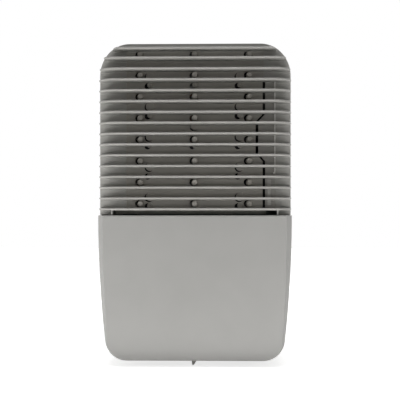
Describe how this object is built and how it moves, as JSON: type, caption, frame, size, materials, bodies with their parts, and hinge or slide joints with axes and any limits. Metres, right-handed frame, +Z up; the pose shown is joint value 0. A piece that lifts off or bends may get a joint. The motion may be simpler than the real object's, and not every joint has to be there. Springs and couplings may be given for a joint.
{
  "type": "dehumidifier",
  "caption": "Room dehumidifier: wrap-round louvred front over a pull-out water tank, with fan, refrigeration loop, lift-out filter, top outlet, buttons and carry handle.",
  "frame": {"origin": "on the floor under the middle of the body", "axes": "+Z up, front faces -Y, +X to the right of someone who faces the front"},
  "size_m": [0.354, 0.24, 0.5922],
  "materials": {
    "shell_grey": "fine matt",
    "panel_grey": "fine matt",
    "filter_plastic": "matt",
    "filter_mesh": "woven nylon",
    "inner_plastic": "matt",
    "tank_plastic": "satin",
    "float_white": "matt foam",
    "black_plastic": "matt",
    "panel_dark": "gloss",
    "button_grey": "matt",
    "foot_rubber": "matt",
    "cap_rubber": "matt",
    "fin_aluminium": "bare",
    "copper": "bare copper",
    "zinc_steel": "zinc plated",
    "black_paint": "semi gloss black",
    "board_green": "lacquered board",
    "window_clear": "clear"
  },
  "bodies": {
    "cabinet": {"front_grille": "shell_grey", "inner_panel": "panel_grey", "side_cover": "panel_grey", "rear_housing": "shell_grey", "base_pan": "shell_grey", "feet": "foot_rubber", "chassis": "inner_plastic", "drip_tray": "inner_plastic", "drain_port": "inner_plastic", "cord_gland": "black_plastic", "evaporator_fins": "fin_aluminium", "evaporator_tube": "copper", "condenser_fins": "fin_aluminium", "condenser_tube": "copper", "coil_plates": "zinc_steel", "fan_scroll": "inner_plastic", "scroll_front": "inner_plastic", "motor_bracket": "zinc_steel", "fan_motor": "zinc_steel", "compressor": "black_paint", "compressor_mounts": "foot_rubber", "terminal_cover": "black_plastic", "accumulator": "copper", "accumulator_strap": "zinc_steel", "discharge_pipe": "copper", "suction_pipe": "copper", "filter_drier": "copper", "capillary_tube": "copper", "capacitor": "black_plastic", "level_switch": "black_plastic", "humidity_sensor": "black_plastic", "top_cover": "shell_grey", "outlet_grille": "shell_grey", "control_panel": "panel_dark", "control_board": "board_green", "display_window": "window_clear", "display_module": "black_plastic"},
    "tank": {"tank_front": "shell_grey", "water_tank": "tank_plastic", "tank_lid": "inner_plastic", "float_pin": "zinc_steel"},
    "tank_float": {"tank_float": "float_white"},
    "filter": {"filter_frame": "filter_plastic", "filter_mesh": "filter_mesh"},
    "fan": {"fan_wheel": "black_plastic", "motor_shaft": "zinc_steel"},
    "handle": {"carry_handle": "shell_grey"},
    "drain_cap": {"drain_cap": "cap_rubber"},
    "button_power": {"button_power": "button_grey"},
    "button_mode": {"button_mode": "button_grey"},
    "button_fan_speed": {"button_fan_speed": "button_grey"},
    "button_humidity": {"button_humidity": "button_grey"},
    "button_timer": {"button_timer": "button_grey"}
  },
  "joints": [
    {"name": "tank_pull", "type": "slide", "parent": "cabinet", "child": "tank", "axis": [0, -1, 0], "range_m": [0, 0.13]},
    {"name": "float_swing", "type": "hinge", "parent": "tank", "child": "tank_float", "pos_m": [-0.124, -0.08454, 0.2575], "axis": [1, 0, 0], "range_deg": [0, 18]},
    {"name": "filter_lift", "type": "slide", "parent": "cabinet", "child": "filter", "axis": [0, 0, 1], "range_m": [0, 0.3]},
    {"name": "fan_spin", "type": "hinge", "parent": "cabinet", "child": "fan", "pos_m": [-0.044, 0.0194, 0.406], "axis": [0, 1, 0], "range_deg": [-180, 180]},
    {"name": "handle_swing", "type": "hinge", "parent": "cabinet", "child": "handle", "pos_m": [0, 0.0074, 0.5855], "axis": [1, 0, 0], "range_deg": [0, 90]},
    {"name": "drain_cap_pull", "type": "slide", "parent": "cabinet", "child": "drain_cap", "axis": [0, 1, 0], "range_m": [0, 0.03]},
    {"name": "press_power", "type": "slide", "parent": "cabinet", "child": "button_power", "axis": [0, 0, -1], "range_m": [0, 0.001], "stiffness_N_per_m": 300, "springref_m": -0.001},
    {"name": "press_mode", "type": "slide", "parent": "cabinet", "child": "button_mode", "axis": [0, 0, -1], "range_m": [0, 0.001], "stiffness_N_per_m": 300, "springref_m": -0.001},
    {"name": "press_fan_speed", "type": "slide", "parent": "cabinet", "child": "button_fan_speed", "axis": [0, 0, -1], "range_m": [0, 0.001], "stiffness_N_per_m": 300, "springref_m": -0.001},
    {"name": "press_humidity", "type": "slide", "parent": "cabinet", "child": "button_humidity", "axis": [0, 0, -1], "range_m": [0, 0.001], "stiffness_N_per_m": 300, "springref_m": -0.001},
    {"name": "press_timer", "type": "slide", "parent": "cabinet", "child": "button_timer", "axis": [0, 0, -1], "range_m": [0, 0.001], "stiffness_N_per_m": 300, "springref_m": -0.001}
  ]
}
